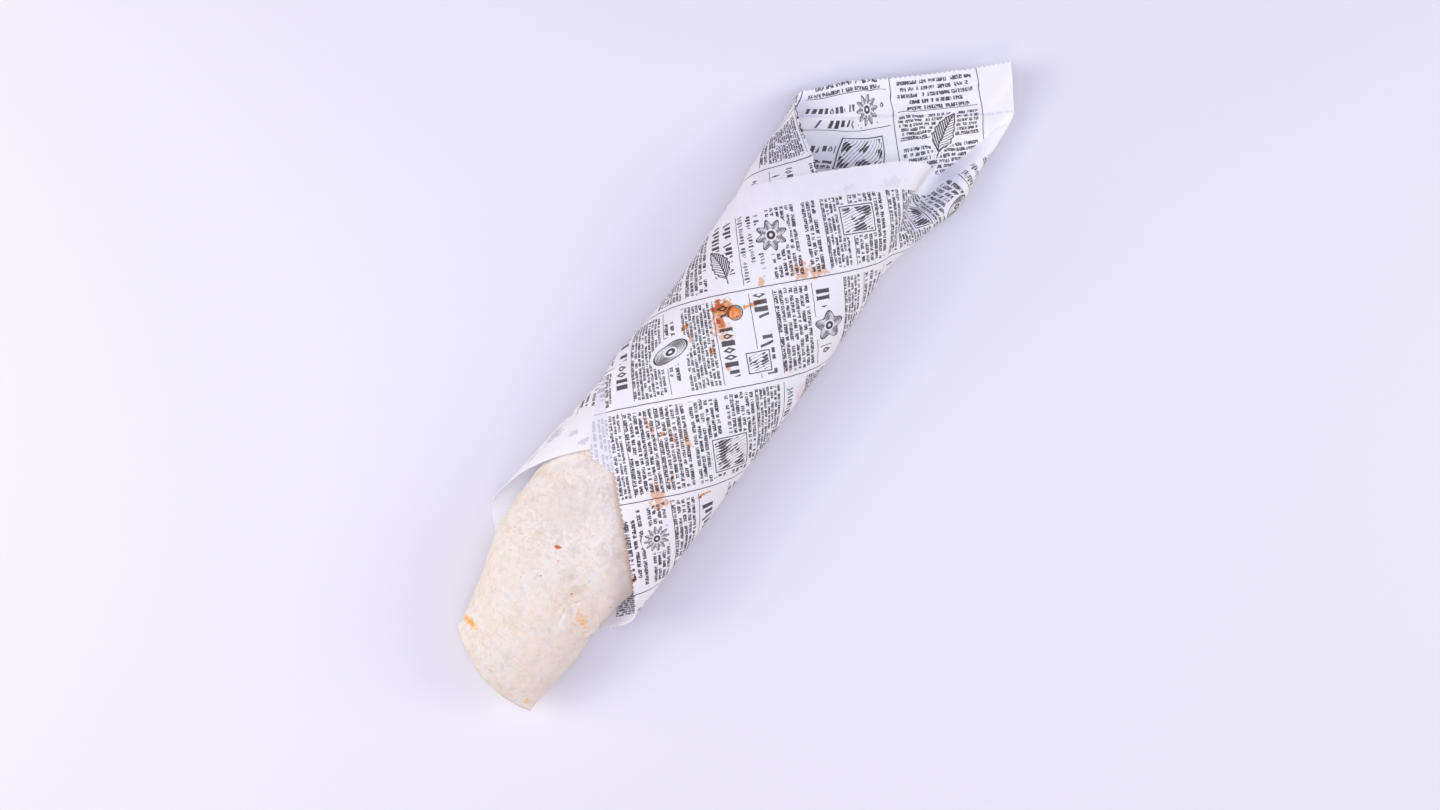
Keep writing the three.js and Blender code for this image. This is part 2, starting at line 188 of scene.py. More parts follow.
# The first and last rings of the ball close the two ends, each drawn in to the middle of its rim.
for end, rings_in in ((0, ring), (1, BREAD_RINGS - ring)):
    rim = bread_surface(np.full(BREAD_SIDES, float(end)), np.arange(BREAD_SIDES) / BREAD_SIDES)
    inwards = np.clip(rings_in / BREAD_END_RINGS, 0, 1)[:, None]
    hub = rim.mean(0)
    skin = np.where(inwards < 1, hub + (skin - hub) * inwards, skin)

core_y = np.interp(skin[:, 0], *np.transpose(BREAD_CORE_Y))
outward = np.stack([np.zeros(len(skin)), skin[:, 1] - core_y, skin[:, 2] - BREAD_CORE_Z], 1)
outward /= np.linalg.norm(outward, axis=1)[:, None] + 1e-9
relief = (uneven(skin, SKIN_WAVES) - SKIN_SUNK) * eased(skin[:, 0], *SKIN_FADE)

off_rim = np.hypot(skin[:, 0] - BLISTER["x"], skin[:, 1] - BLISTER["y"]) - BLISTER["radius"]
blister = BLISTER["rise"] * eased(-off_rim, -BLISTER["rim"], BLISTER["rim"])
blister = blister - BLISTER["groove"] * bump((off_rim - BLISTER["rim"]) / BLISTER["rim"])

crease_way = np.subtract(CREASE["to"], CREASE["from"])
off_start = skin[:, :2] - CREASE["from"]
along_crease = off_start @ crease_way / (crease_way @ crease_way)
off_crease = off_start[:, 0] * crease_way[1] - off_start[:, 1] * crease_way[0]
off_crease = off_crease / np.hypot(*crease_way)
crease = CREASE["depth"] * bump(off_crease / CREASE["half_width"])
for fade in CREASE_FADES:
    crease = crease * eased(along_crease, *fade)

relief = relief + (blister - crease) * (skin[:, 2] > BREAD_TOP_SIDE["end"])
box_turns = np.tile(np.arange(BOX_SIDES) / BOX_SIDES, BOX_RINGS)
smooth_roll = bread_surface(np.linspace(0, 1, BOX_RINGS).repeat(BOX_SIDES), box_turns)
place_of_bread = place_on("flatbread_roll", smooth_roll)
put_points(bread, skin + outward * relief[:, None] + place_of_bread)
bpy.ops.object.mode_set(mode="EDIT")
bpy.ops.mesh.select_all(action="SELECT")
bpy.ops.mesh.normals_make_consistent(inside=False)
bpy.ops.object.mode_set(mode="OBJECT")
bpy.ops.object.shade_smooth()


def feed(tree, sockets, values):
    """Gives the sockets in order a value or a link."""
    for socket, value in zip(sockets, values):
        value = getattr(value, "socket", value)
        if isinstance(value, bpy.types.NodeSocket):
            tree.links.new(value, socket)
        else:
            socket.default_value = value


def node(tree, kind, *inputs, **settings):
    """Adds a shader node with these settings, and feeds its inputs in order."""
    made = tree.nodes.new("ShaderNode" + kind)
    for name, value in settings.items():
        setattr(made, name, value)
    feed(tree, made.inputs, inputs)
    return made


class Amount:
    """A value in a node tree that is reckoned with like a number, a math node for each step. Of two
    masks, & gives what both cover, and | what either covers."""

    def __init__(self, socket):
        self.socket = socket
        self.tree = socket.id_data

    def step(self, operation, *numbers):
        return Amount(node(self.tree, "Math", self, *numbers, operation=operation).outputs[0])

    __add__ = __radd__ = partialmethod(step, "ADD")
    __mul__ = __rmul__ = __and__ = partialmethod(step, "MULTIPLY")
    __sub__ = partialmethod(step, "SUBTRACT")
    __truediv__ = partialmethod(step, "DIVIDE")
    __mod__ = partialmethod(step, "MODULO")
    __pow__ = partialmethod(step, "POWER")
    __abs__ = partialmethod(step, "ABSOLUTE")
    __or__ = partialmethod(step, "MAXIMUM")
    __lt__ = partialmethod(step, "LESS_THAN")
    __gt__ = partialmethod(step, "GREATER_THAN")
    at_most = partialmethod(step, "MINIMUM")
    whole = partialmethod(step, "FLOOR")
    fraction = partialmethod(step, "FRACT")
    cosine = partialmethod(step, "COSINE")
    root = partialmethod(step, "SQRT")

    def __rsub__(self, number):
        return self * -1 + number

    def __rtruediv__(self, number):
        return self**-1 * number


def srgb(red, green, blue):
    """The linear colour of an 8-bit screen colour."""
    screen = np.array([red, green, blue]) / 255
    linear = np.where(screen > 0.04, ((screen + 0.055) / 1.055) ** 2.4, screen / 12.92)
    return (*linear, 1)


def split(vector):
    """The three amounts in a vector."""
    return [Amount(part) for part in node(vector.id_data, "SeparateXYZ", vector).outputs]


def joined(x, y, z):
    """A vector of an amount and two more values."""
    return node(x.tree, "CombineXYZ", x, y, z).outputs[0]


def altered(vector, operation, by):
    """A vector that another one is added to, taken from or multiplied with."""
    return node(vector.id_data, "VectorMath", vector, by, operation=operation).outputs[0]


def noise_in(place, size, detail=2, roughness=0.5):
    """Noise whose features are about this many metres across."""
    made = node(place.id_data, "TexNoise", place)
    sockets = [made.inputs[name] for name in ("Scale", "Detail", "Roughness")]
    feed(place.id_data, sockets, (1 / size, detail, roughness))
    return Amount(made.outputs["Fac"])


def stepped(amount, low, high):
    """0 where the amount is under low, 1 where it is over high."""
    made = node(amount.tree, "MapRange", amount, low, high, 0, 1, interpolation_type="SMOOTHSTEP")
    return Amount(made.outputs[0])


def layered(mask, under, over, strength=1, blend="MIX"):
    """One colour over another where the mask is."""
    made = node(mask.tree, "Mix", data_type="RGBA", blend_type=blend)
    feed(mask.tree, [made.inputs[i] for i in (0, 6, 7)], (mask * strength, under, over))
    return made.outputs[2]


def new_material(name, roughness):
    """A material with nodes: itself, its node tree and its shader's inputs."""
    material = bpy.data.materials.new(name)
    material.use_nodes = True
    shader = material.node_tree.nodes["Principled BSDF"].inputs
    shader["Roughness"].default_value = roughness
    return material, material.node_tree, shader


def give_surface(tree, shader, colour, height, strength, distance):
    """Gives a shader its colour and its relief."""
    tree.links.new(colour, shader["Base Color"])
    bumped = node(tree, "Bump", strength, distance)
    feed(tree, [bumped.inputs["Height"], shader["Normal"]], (height, bumped.outputs[0]))


def new_group(name, vectors, amounts, results):
    """A node group with these inputs and results: itself, its vectors, its amounts, its results."""
    tree = bpy.data.node_groups.new(name, "ShaderNodeTree")
    for sockets, way, kind in (
        (vectors, "INPUT", "NodeSocketVector"), (amounts, "INPUT", "NodeSocketFloat"),
        (results, "OUTPUT", "NodeSocketFloat"),
    ):
        for socket in sockets:
            tree.interface.new_socket(socket, in_out=way, socket_type=kind)
    given, result = tree.nodes.new("NodeGroupInput").outputs, tree.nodes.new("NodeGroupOutput").inputs
    return tree, [given[name] for name in vectors], [Amount(given[name]) for name in amounts], result


def from_centre(place, centre, turn=0):
    """How far a place is from a centre, along and across a direction turned by so much."""
    turned = node(place.id_data, "VectorRotate", altered(place, "SUBTRACT", centre), rotation_type="Z_AXIS")
    feed(place.id_data, [turned.inputs["Angle"]], [turn])
    return split(turned.outputs[0])[:2]


SPOT_GRAIN, SPOT_EDGE = 1.6, (0.68, 0.32)


def spot_group():
    """A ragged spot: 1 inside, 0 outside, of this length and width and turned, in one plane."""
    tree, (place, centre), (length, width, turn, raggedness), result = new_group(
        "ragged_spot", ("Place", "Centre"), ("Length", "Width", "Turn", "Raggedness"), ("Mask",)
    )
    along, across = from_centre(place, centre, turn)
    distance = ((along / length) ** 2 + (across / width) ** 2).root()
    ragged = (noise_in(place, SPOT_GRAIN * MM, 3, 0.6) - 0.5) * raggedness
    feed(tree, result, [stepped(distance + ragged, *SPOT_EDGE)])
    return tree


ragged_spot = spot_group()


def spotted(place, spots):
    """The mask of ragged spots in millimetres: (x, y, length, width, turn, raggedness)."""
    mask = 0
    for x, y, length, width, *shape in spots:
        values = ((x * MM, y * MM, 0), length * MM, width * MM, *shape)
        mask = Amount(node(place.id_data, "Group", place, *values, node_tree=ragged_spot).outputs[0]) | mask
    return mask


DOUGH_PALE, DOUGH_CREAM, DOUGH_GREY = srgb(236, 230, 224), srgb(229, 215, 192), srgb(206, 196, 187)
# The brown colour serves both for browned dough and for the painted shadow along the paper's toothed edge.
TOASTED, FLOURY, BROWNED_AND_SHADOW = srgb(198, 166, 136), srgb(252, 249, 245), srgb(188, 134, 112)
OIL_ORANGE, SAUCE_ORANGE, SAUCE_BROWN = srgb(247, 182, 92), srgb(236, 150, 44), srgb(206, 112, 0)
OILY_DOUGH = srgb(238, 214, 180)

# Patches of colour on the dough: their size in millimetres, detail, where the noise starts and ends
# to show them, their colour and their strength.
DOUGH_PATCHES = [
    (30, 2, 0.44, 0.66, DOUGH_CREAM, 0.34), (9, 5, 0.46, 0.64, DOUGH_CREAM, 0.36),
    (5, 5, 0.5, 0.66, DOUGH_GREY, 0.36), (2.8, 4, 0.5, 0.72, FLOURY, 0.28),
    (2.2, 5, 0.5, 0.68, TOASTED, 0.3), (1, 3, 0.56, 0.72, TOASTED, 0.4),
]

# Places with a tint of their own, as ragged spots: from grey and oily dough to drops of sauce.
DOUGH_TINTS = [
    (DOUGH_GREY, 0.15, [(-124, 6, 62, 54, 0, 0.6)]),
    (DOUGH_GREY, 0.34, [
        (-81, 14, 30, 20, 0.4, 2.2), (-90.8, 3.5, 6.5, 5, 0, 2), (-99.5, 0.8, 5, 4, 0.6, 2.4),
    ]),
    (OILY_DOUGH, 0.22, [
        (-121, 1.5, 22, 10, 0.5, 3.4), (-130, -5, 15, 10, 0.3, 3.4), (-104, -6.5, 11, 4, 0.9, 2.6),
        (-139, -8, 12, 7, 0.2, 3),
    ]),
    (BROWNED_AND_SHADOW, 0.13, [
        (-64.5, 4.5, 9, 6, 0.8, 2.6), (-84, -11, 9, 5, 0.8, 2.8), (-104, -5, 8, 3, 0.5, 2.6),
    ]),
    (OIL_ORANGE, 0.52, [
        (-111.4, -13.4, 5.4, 3, 1.9, 4.6), (-146.8, -11, 1.7, 0.8, 0.9, 1.4),
        (-149.5, -14.1, 2.2, 1.4, 0.4, 2), (-133.9, 24.7, 3, 1.2, 0.4, 2),
    ]),
    (OIL_ORANGE, 0.26, [(-99.4, 28.4, 2.2, 1.2, 0.3, 2.2)]),
    (OIL_ORANGE, 0.86, [(-136.8, 20.3, 6.4, 2.6, 1.62, 1.3)]),
    (SAUCE_ORANGE, 0.55, [(-136.8, 20.3, 3.6, 1.2, 1.62, 1.3), (-112.2, -14.6, 1, 0.6, 0.4, 1.4)]),
    (SAUCE_BROWN, 1, [
        (-93.5, 9.2, 2.7, 1.4, 1.1, 0.6), (-105.8, 8.3, 0.7, 0.5, 0, 0.8),
        (-97.6, 6.1, 0.5, 0.4, 0, 0.8), (-110.6, 14.1, 0.4, 0.4, 0, 0.8),
        (-104.9, -4.9, 0.9, 0.4, 0.6, 1.4), (-101.5, -19.4, 0.5, 0.4, 0, 0.8),
    ]),
]
BLISTER_EDGE = {
    "line": 0.42, "line_strength": 0.34, "wander": 5, "inner_rim": 1.2, "rim_width": 0.9,
    "rim_strength": 0.45, "break_size": 9, "breaks": (0.44, 0.58),
}
# Painted shadow: a brown line of contact shadow where the paper's toothed edge lies on the dough.
EDGE_SHADOW = {"line": -67.2, "reach": 3.4, "wander": 2.4, "strength": 0.5}
# Painted light: a lighter, warmer tint on the bread's right flank.
PAINTED_LIGHT_FLANK = {"start": -6, "end": -24, "colour": srgb(242, 224, 206), "strength": 0.6}
DOUGH_WANDER, DOUGH_CRUMB = 6, 0.65
DOUGH_GRAIN = {"size": 1.4, "strength": 0.5, "height": 0.5}
DOUGH_ROUGHNESS, DOUGH_GLOW, DOUGH_GLOW_RADIUS = 0.6, 0.3, (0.006, 0.0035, 0.002)


def baked_dough():
    material, tree, shader = new_material("baked_dough", DOUGH_ROUGHNESS)
    place = node(tree, "TexCoord").outputs["Object"]
    flat = altered(place, "MULTIPLY", (1, 1, 0))
    x, y, z = split(place)
    colour = DOUGH_PALE
    for size, detail, start, end, patch, strength in DOUGH_PATCHES:
        patches = noise_in(altered(place, "ADD", (size, 0, 0)), size * MM, detail, DOUGH_CRUMB)
        colour = layered(stepped(patches, start, end), colour, patch, strength)

    # Painted light: the right flank is tinted lighter and warmer, standing in for its bright, warm shading.
    wander = noise_in(place, DOUGH_WANDER * MM, 3)
    lit_flank = stepped(y, PAINTED_LIGHT_FLANK["start"] * MM, PAINTED_LIGHT_FLANK["end"] * MM)
    colour = layered(lit_flank, colour, PAINTED_LIGHT_FLANK["colour"], PAINTED_LIGHT_FLANK["strength"])
    # Painted shadow: a brown line where the paper's toothed edge lies on the dough.
    beyond = wander * (EDGE_SHADOW["wander"] * MM) + (x - y)
    line = (EDGE_SHADOW["line"] + EDGE_SHADOW["wander"] / 2) * MM
    edge_shadow = stepped(beyond, line - EDGE_SHADOW["reach"] * MM, line)
    colour = layered(edge_shadow, colour, BROWNED_AND_SHADOW, EDGE_SHADOW["strength"])

    # The rim of a burst blister: a thin darker line, broken in places, with a pale ridge inside it.
    middle = ((BLISTER["x"] + place_of_bread[0]) * MM, (BLISTER["y"] + place_of_bread[1]) * MM, 0)
    from_middle = node(tree, "VectorMath", flat, middle, operation="DISTANCE").outputs["Value"]
    off_line = wander * (BLISTER_EDGE["wander"] * MM) + Amount(from_middle)
    off_line = off_line - (BLISTER["radius"] + BLISTER_EDGE["wander"] / 2) * MM
    on_top = stepped(z, BREAD_TOP_SIDE["start"] * MM, BREAD_TOP_SIDE["end"] * MM)
    kept = stepped(noise_in(flat, BLISTER_EDGE["break_size"] * MM), *BLISTER_EDGE["breaks"]) & on_top
    off_ridge = abs(off_line + BLISTER_EDGE["inner_rim"] * MM)
    ridge = stepped(off_ridge, BLISTER_EDGE["rim_width"] * MM, 0)
    colour = layered(ridge & kept, colour, FLOURY, BLISTER_EDGE["rim_strength"])
    outline = stepped(abs(off_line), BLISTER_EDGE["line"] * MM, 0)
    colour = layered(outline & kept, colour, BROWNED_AND_SHADOW, BLISTER_EDGE["line_strength"])

    for tint, strength, spots in DOUGH_TINTS:
        colour = layered(spotted(flat, spots) & on_top, colour, tint, strength)
    shader["Subsurface Weight"].default_value = DOUGH_GLOW
    shader["Subsurface Radius"].default_value = DOUGH_GLOW_RADIUS
    grain = noise_in(place, DOUGH_GRAIN["size"] * MM, 5, DOUGH_CRUMB)
    give_surface(tree, shader, colour, grain, DOUGH_GRAIN["strength"], DOUGH_GRAIN["height"] * MM)
    return material


bread.data.materials.append(baked_dough())
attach(bread, "root")
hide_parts("flatbread_roll")

# ---- Paper sheet -----------------------------------------------------------------------------
# One square of white greaseproof paper with grey newsprint-like print, folded double and rolled
# round the bread cornerwise. Two sides are machine cut in small teeth, one is the fold.

SHEET_SIDE = 207.6
SHEET_MIDDLE = (70.3, 11.3)
LAYER_PITCH = 0.95

# The outermost turn's section along x, as (x, value): its sides and crown, how high and how far to
# the left those are, and how square its upper and lower halves are.
TUBE_LEFT = [
    (-125, 42), (-108, 44), (-96, 44.6), (-84, 41.9), (-70, 39.2), (-58, 37.2), (-40, 34.9),
    (-19, 33.1), (9, 30.9), (46, 31.6), (67, 34), (97, 34.4), (160, 33),
]
TUBE_RIGHT = [
    (-125, -27), (-108, -28.6), (-97, -29.4), (-73, -30.4), (-40, -31.4), (-8, -32.6), (24, -33.2),
    (46, -33), (62, -31.8), (74, -34.2), (89, -37.8), (101, -41), (117, -39.8), (136, -39.2),
    (160, -37),
]
TUBE_CROWN = [
    (-125, 36), (-80, 37.4), (-40, 37.2), (0, 37.4), (30, 37.2), (50, 36), (65, 33.4), (80, 29),
    (95, 24.5), (110, 20.5), (134, 16), (160, 14),
]
TUBE_CROWN_Y = [(-100, 2), (-60, 3), (20, 0), (80, -4), (110, -4)]
TUBE_LEFT_HEIGHT = [
    (-100, 6.5), (-84, 10), (-60, 15), (-30, 17.5), (40, 17), (70, 13), (95, 5.5), (160, 5),
]
TUBE_RIGHT_HEIGHT = [(-100, 24), (-70, 21), (-30, 18), (40, 17), (70, 13), (95, 7), (160, 6)]
TUBE_FLOOR_Y = [(-100, 10), (-60, 4), (20, 0), (160, -2)]
CROWN_SQUARENESS = [(60, 2.1), (100, 1.9)]
BELLY_SQUARENESS = [(-100, 1.95), (-60, 2.3), (-20, 2.5), (60, 2.5), (100, 1.8)]
SECTIONS_FROM, SECTION_COUNT, SECTION_SAMPLES = -160, 331, 240
DENT = {"start": 58, "end": 104, "depth": 11.5, "half_width": 5.6, "s_at_start": 37, "s_at_end": 30}
MOUTH_FOLD = {"s": 54.5, "start": 95, "end": 115}

# Stretches of the sheet's edge that are drawn back: by how much, at which s and how far to each
# side of it, and from which x to which x.
DRAWN_EDGES = [(12.8, 35, 12, 75, 115), (8.5, 121, 26, -52, -88), (-3, 46, 12, -88, -104)]
MOUTH_SHORTENING = (3, 60, 158)

# The end of the sheet that lies open past the mouth climbs to a slanting crease, and is pulled
# round a little about a point near its right fold.
FLAP = {"climb_from": 36, "climb": 8, "droop": 0.16, "tip_lift": 3.5, "tip_from": 100}
FLAP_CREASE = {"inset": 18.5, "slant": 0.085}
FLAP_RIGHT, FLAP_LEFT = (54, 70), (132, 112)
FLAP_TURN = {"angle": -0.0914, "pivot": (119, -18.5), "left": (152, 130), "near": (84, 104)}


def path_length(path):
    """How long the path is up to each of its points."""
    return np.concatenate([[0], np.cumsum(np.hypot(*np.diff(path, axis=0).T))])


def inward_of(tangent):
    """The unit directions square to these, to their left."""
    tangent = tangent / np.hypot(*tangent.T)[:, None]
    return np.stack([-tangent[:, 1], tangent[:, 0]], 1)


def tube_section(x):
    """One section of the tube at x: its girth, evenly spaced (y, z) points from the crown down
    the right side, and how far the sheet has slipped round it."""
    steps = 4 * SECTION_SAMPLES
    angle = np.arange(steps) * 2 * math.pi / steps
    across, up = np.sin(angle), np.cos(angle)
    edge_y = np.where(across >= 0, through(TUBE_RIGHT, x), through(TUBE_LEFT, x))
    edge_z = np.where(across >= 0, through(TUBE_RIGHT_HEIGHT, x), through(TUBE_LEFT_HEIGHT, x))
    pole_y = np.where(up >= 0, through(TUBE_CROWN_Y, x), through(TUBE_FLOOR_Y, x))
    pole_z = np.where(up >= 0, through(TUBE_CROWN, x), 0)
    power = 2 / np.where(up >= 0, through(CROWN_SQUARENESS, x), through(BELLY_SQUARENESS, x))
    y = pole_y + (edge_y - pole_y) * np.abs(across) ** power
    z = edge_z + (pole_z - edge_z) * np.abs(up) ** power
    first = np.argmax((z > through(TUBE_LEFT_HEIGHT, x)) & (y <= 0) & (np.roll(y, 1) > 0))
    walk = np.roll(np.stack([y, z], 1), -first, 0)
    walk = np.vstack([walk, walk[:1]])

    along = np.clip((x - DENT["start"]) / (DENT["end"] - DENT["start"]), 0, 1)
    middle = DENT["s_at_start"] + (DENT["s_at_end"] - DENT["s_at_start"]) * along
    push = DENT["depth"] * eased(x, DENT["start"], DENT["end"])
    push = push * bump((path_length(walk) - middle) / DENT["half_width"])
    walk = walk + push[:, None] * inward_of(np.gradient(walk, axis=0))

    reached = path_length(walk)
    girth = reached[-1]
    want = girth * np.arange(SECTION_SAMPLES) / SECTION_SAMPLES
    points = np.stack([np.interp(want, reached, walk[:, k]) for k in (0, 1)], 1)
    fold = girth * np.argmin(points[:, 0]) / SECTION_SAMPLES
    slip = eased(x, MOUTH_FOLD["start"], MOUTH_FOLD["end"]) * (MOUTH_FOLD["s"] - fold)
    return girth, points, slip


sections = [tube_section(SECTIONS_FROM + i) for i in range(SECTION_COUNT)]
GIRTH, POINTS, SLIP = (np.array([section[k] for section in sections]) for k in range(3))
HALF_DIAGONAL = SHEET_SIDE / math.sqrt(2)
FIRST_S = SHEET_MIDDLE[0] - HALF_DIAGONAL


def on_section(i, s):
    """Points of the sections i, a length s round them, and the directions into the tube."""
    share = ((s - SLIP[i]) / GIRTH[i] % 1) * SECTION_SAMPLES
    k = np.floor(share).astype(int)
    t = (share - k)[:, None]
    before, here, there, after = (POINTS[i, (k + n) % SECTION_SAMPLES] for n in (-1, 0, 1, 2))
    tangent = (there - before) * (1 - t) + (after - here) * t
    return here * (1 - t) + there * t, inward_of(tangent)


def rolled_place(from_cut, from_fold):
    """(s, x) of the points this far from the toothed edge over the bread and from the fold: s runs
    round the tube from the crown over the right side, x along it."""
    s = FIRST_S + (from_fold + from_cut) / math.sqrt(2)
    return s, SHEET_MIDDLE[1] + (from_cut - from_fold) / math.sqrt(2)


def flat_place(s, x):
    """How far the points (s, x) are from the toothed edge over the bread and from the fold."""
    round_tube, along_tube = s - FIRST_S, x - SHEET_MIDDLE[1]
    return (round_tube + along_tube) / math.sqrt(2), (round_tube - along_tube) / math.sqrt(2)


def rolled(s, x):
    """Where points (s, x) of the flat sheet lie once it is rolled."""
    place = np.clip(x - SECTIONS_FROM, 0, SECTION_COUNT - 1)
    i = np.minimum(place.astype(int), SECTION_COUNT - 2)
    t = place - i
    inset = LAYER_PITCH * (s - FIRST_S) / (GIRTH[i] * (1 - t) + GIRTH[i + 1] * t)
    ringed = 0
    for k, share in ((i, 1 - t), (i + 1, t)):
        point, inward = on_section(k, s)
        ringed = ringed + share[:, None] * (point + inset[:, None] * inward)
    y, z = ringed.T

    from_cut, from_fold = flat_place(s, x)
    to_far_cut = SHEET_SIDE - from_cut
    crease = FLAP_CREASE["inset"] - FLAP_CREASE["slant"] * from_fold
    climbed = np.clip((FLAP["climb_from"] - to_far_cut) / (FLAP["climb_from"] - crease), 0, 1) ** 2
    lifted = FLAP["climb"] * climbed - FLAP["droop"] * np.maximum(0, crease - to_far_cut)
    lifted = lifted + FLAP["tip_lift"] * eased(x, FLAP["tip_from"], SHEET_MIDDLE[1] + HALF_DIAGONAL)
    z = z + lifted * eased(s, *FLAP_RIGHT) * eased(s, *FLAP_LEFT)

    drawn = MOUTH_SHORTENING[0] * eased(x, *MOUTH_SHORTENING[1:])
    for by, at_s, half_width, start, end in DRAWN_EDGES:
        drawn = drawn + by * eased(x, start, end) * bump((s - at_s) / half_width)
    turned = eased(s, *FLAP_RIGHT) * eased(s, *FLAP_TURN["left"]) * eased(x, *FLAP_TURN["near"])
    away_x, away_y = x - drawn - FLAP_TURN["pivot"][0], y - FLAP_TURN["pivot"][1]
    angle = FLAP_TURN["angle"] * turned
    return np.stack([x - drawn - angle * away_y, y + angle * away_x, z], 1)


def faced(s, x, reach=0.4):
    """The way the rolled sheet faces, outwards."""
    round_tube = rolled(s + reach, x) - rolled(s - reach, x)
    normal = np.cross(round_tube, rolled(s, x + reach) - rolled(s, x - reach))
    return normal / np.linalg.norm(normal, axis=1)[:, None]


PAPER_CELLS = 208
PAPER_THICKNESS = 0.16
PAPER_SMOOTH_ANGLE = 50
TOOTH, AT_EDGE = 0.75, 0.01
PAPER_WAVES, PAPER_WAVE_LIMIT = [(0.22, 38, 11), (0.1, 14, 12), (0.04, 5, 13)], 0.4

bpy.ops.object.select_all(action="DESELECT")
bpy.ops.mesh.primitive_grid_add(x_subdivisions=PAPER_CELLS, y_subdivisions=PAPER_CELLS, size=SHEET_SIDE)
paper = bpy.context.object
paper.name = "paper_wrap"
flat = points_of(paper)
from_cut, from_fold = flat[:, 0] + SHEET_SIDE / 2, SHEET_SIDE / 2 - flat[:, 1]
row = np.round(from_fold / SHEET_SIDE * PAPER_CELLS).astype(int)
tooth = np.where(row % 2 == 0, TOOTH, 0)
outermost = (from_cut > SHEET_SIDE - AT_EDGE).astype(int) - (from_cut < AT_EDGE)
s, x = rolled_place(from_cut + tooth * outermost, from_fold)
smooth_sheet = rolled(s, x)
place_of_sheet = place_on("paper_sheet", smooth_sheet)
ripple = uneven(np.stack([s, x, np.zeros(len(s))], 1), PAPER_WAVES)
ripple = np.clip(ripple, -PAPER_WAVE_LIMIT, PAPER_WAVE_LIMIT)
put_points(paper, smooth_sheet + faced(s, x) * ripple[:, None] + place_of_sheet)

COLUMN_WIDTH, COLUMN_MARGIN = 35, 1.7
BLOCK_PITCH, BLOCK_JITTER, BLOCK_GAP, LAST_ROW_GAP = 11.5, 0.62, 0.6, 0.54
RULE_WIDTH, SHORT_RULE_WIDTH, WORD_LENGTH = 0.36, 0.26, 6.3

# The kinds of block, each from this chance up: the pitch of its rows and the width of a stroke in
# millimetres, how much of the column a row may leave empty, and how much of the pitch a row fills.
BLOCK_KINDS = [
    (0.00, 1.45, 0.62, 0.03, 0.72), (0.24, 1.9, 0.76, 0.05, 0.7), (0.42, 2.5, 0.95, 0.35, 0.6),
    (0.54, 3.3, 1.15, 0.4, 0.6), (0.65, 5.2, 1.7, 0.32, 0.64), (0.78, 7.8, 2.6, 0.24, 0.64),
    (0.88, 1.15, 0.6, 0.00, 0.8),
]
KIND_PITCH_SCALE, KIND_STROKE_SCALE = 10, 4
FINE_STROKE, TWO_COLUMNS_ABOVE, BLOCK_RULE_ABOVE = 1, 0.7, 0.35
LAST_COLUMN, LAST_COLUMN_SEED = 5, 3

# One stroke in its cell, in shares of the cell: its middle, the half widths of a bar and its feet,
# the slopes and half widths of a lozenge and a slant, how much shorter some are, and from which
# chance up it is a slant, from which a lozenge, and there at all.
STROKE_MIDDLE, STROKE_SHORTER, STROKE_THERE, STROKE_BOLDNESS = 0.47, 0.25, 0.06, 0.94
BAR = {"half": 0.24, "thicker": 0.15, "foot_level": 0.41, "foot_half": 0.36}
LOZENGE = {"slope": 2.35, "hollow": 0.42, "above": 0.72}
SLANT = {"slope": 0.5, "half": 0.19, "above": 0.5}
BLOTS_ALONG, BLOTS_UP, BLOTS_ABOVE = 1.3, 1.9, 0.485
WORD_SWAY, WORD_SWAY_CELLS, WORD_GAP, WORD_GAP_SPREAD = 9, 6, 0.02, 0.22


